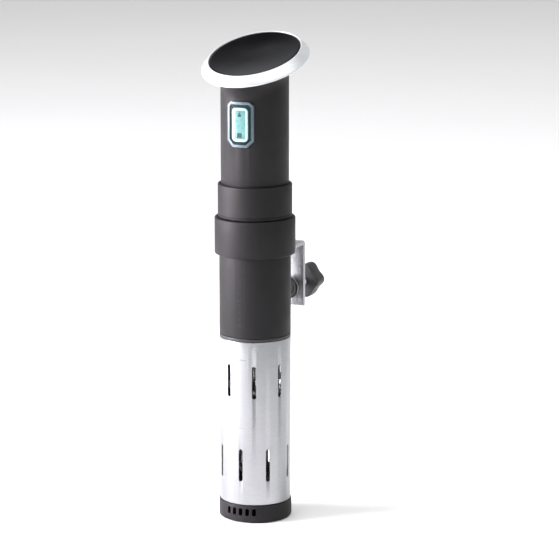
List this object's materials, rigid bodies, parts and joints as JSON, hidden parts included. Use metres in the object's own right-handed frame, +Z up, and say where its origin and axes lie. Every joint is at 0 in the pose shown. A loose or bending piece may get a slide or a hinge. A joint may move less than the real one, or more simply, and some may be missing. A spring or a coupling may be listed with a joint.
{
  "type": "sous vide circulator",
  "caption": "Stick-shaped immersion circulator with a slanted oval control panel, a start key, a slotted steel skirt and a screw clamp for a pot rim.",
  "frame": {"origin": "Middle of the foot's flat underside, on the upright axis of the casing.", "axes": "+Z is up along the casing's axis, the start key and the low end of the slanted panel face -Y, the pot clamp is on +Y, and +X is to the right of someone facing the front."},
  "size_m": [0.0811, 0.1564, 0.3802],
  "materials": {
    "satin_black": "fine satin charcoal",
    "dark_plastic": "moulded, slightly rough",
    "gloss_black": "polished glossy black",
    "silver_ring": "satin silver",
    "steel": "brushed stainless",
    "key_teal": "translucent teal",
    "rubber": "moulded rubber",
    "board_green": "solder mask",
    "brass": "turned brass",
    "pale_plastic": "moulded pale plastic",
    "aluminium": "machined aluminium"
  },
  "bodies": {
    "foot": {"foot_cap": "satin_black"},
    "skirt": {"skirt": "steel"},
    "housing": {"bulkhead": "dark_plastic", "skirt_seal": "rubber", "shaft_seal": "rubber", "heater_coil": "steel", "temperature_probe": "steel", "level_probe_low": "steel", "level_probe_high": "steel", "stay_rod_a": "steel", "stay_rod_b": "steel", "stay_rod_c": "steel", "guide_plate": "dark_plastic", "guide_bush": "brass", "lower_tube": "satin_black", "joint_collar": "satin_black", "body_shell": "satin_black", "bezel_ring": "silver_ring", "panel_gasket": "rubber", "control_panel": "gloss_black", "display_board": "board_green", "display_module": "dark_plastic", "buzzer": "dark_plastic", "key_bezel": "silver_ring", "key_surround": "dark_plastic", "board_frame": "pale_plastic", "main_board": "board_green", "capacitor": "dark_plastic", "relay": "pale_plastic", "heat_sink": "aluminium", "key_board": "board_green", "key_switch": "brass", "motor_can": "steel", "motor_end_cap": "pale_plastic", "motor_screw_a": "steel", "motor_screw_b": "steel", "cord_gland": "rubber", "gland_nut": "dark_plastic"},
    "rotor": {"motor_rotor": "steel", "cooling_fan": "dark_plastic", "shaft_coupling": "aluminium", "drive_shaft": "steel", "impeller": "pale_plastic"},
    "key": {"start_key": "key_teal"},
    "clamp": {"clamp_collar": "satin_black", "clamp_bracket": "steel", "bracket_screw_a": "steel", "bracket_screw_b": "steel", "fixed_jaw_pad": "rubber", "clamp_nut": "brass"},
    "jaw": {"swivel_cup": "steel", "swivel_face": "rubber"},
    "clamp_spindle": {"clamp_screw": "steel", "clamp_knob": "dark_plastic"},
    "lock_shoe": {"lock_shoe": "rubber"},
    "lock_spindle": {"lock_screw": "steel", "lock_knob": "dark_plastic"}
  },
  "joints": [
    {"name": "skirt_pull", "type": "slide", "parent": "foot", "child": "skirt", "axis": [0, 0, 1], "range_m": [0, 0.03]},
    {"name": "housing_lift", "type": "slide", "parent": "skirt", "child": "housing", "axis": [0, 0, 1], "range_m": [0, 0.145]},
    {"name": "rotor_spin", "type": "hinge", "parent": "housing", "child": "rotor", "pos_m": [0, 0, 0.1], "axis": [0, 0, 1], "continuous": true},
    {"name": "key_press", "type": "slide", "parent": "housing", "child": "key", "axis": [0, 1, 0], "range_m": [0, 0.0008], "stiffness_N_per_m": 1500, "springref_m": -0.0008},
    {"name": "clamp_height", "type": "slide", "parent": "housing", "child": "clamp", "axis": [0, 0, 1], "range_m": [-0.029, 0]},
    {"name": "jaw_travel", "type": "slide", "parent": "clamp", "child": "jaw", "axis": [0, -1, 0], "range_m": [0, 0.0175]},
    {"name": "screw_turn", "type": "hinge", "parent": "jaw", "child": "clamp_spindle", "pos_m": [0, 0.08, 0.171], "axis": [0, -1, 0], "range_deg": [0, 2100]},
    {"name": "shoe_press", "type": "slide", "parent": "clamp", "child": "lock_shoe", "axis": [0.7071, -0.7071, 0], "range_m": [0, 0.0005]},
    {"name": "lock_turn", "type": "hinge", "parent": "lock_shoe", "child": "lock_spindle", "pos_m": [-0.02475, 0.02475, 0.226], "axis": [0.7071, -0.7071, 0], "range_deg": [0, 180]}
  ],
  "couplings": [
    {"joint": "screw_turn", "follows": "jaw_travel", "rad_per_m": 2094.4},
    {"joint": "lock_turn", "follows": "shoe_press", "rad_per_m": 6283.2}
  ]
}
